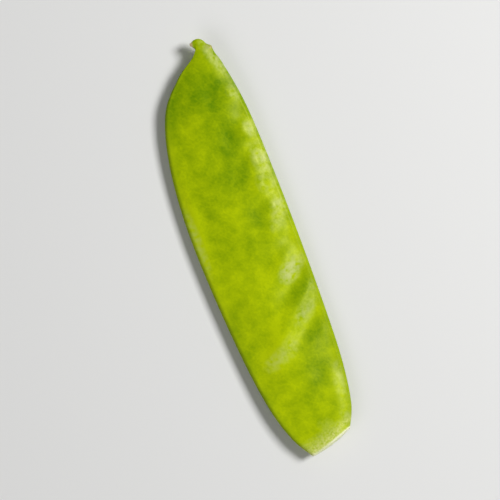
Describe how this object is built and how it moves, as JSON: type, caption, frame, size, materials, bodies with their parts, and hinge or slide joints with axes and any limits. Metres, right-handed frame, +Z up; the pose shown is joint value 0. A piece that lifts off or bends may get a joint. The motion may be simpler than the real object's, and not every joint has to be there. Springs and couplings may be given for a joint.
{
  "type": "snow pea pod",
  "caption": "Fresh green snow pea pod, flat and slightly curved, with a small hooked tip and its stem end cut off straight, lying on its side",
  "frame": {"origin": "middle of the bottom of the pod's bounding box, on the surface that it lies on", "axes": "+Y along the pod from the cut stem end to the tip, +X towards the seed seam, +Z up through the pod's thickness"},
  "size_m": [0.024, 0.097, 0.0052],
  "materials": {
    "pod_skin": "satin"
  },
  "bodies": {
    "root": {"pod": "pod_skin"}
  },
  "joints": []
}
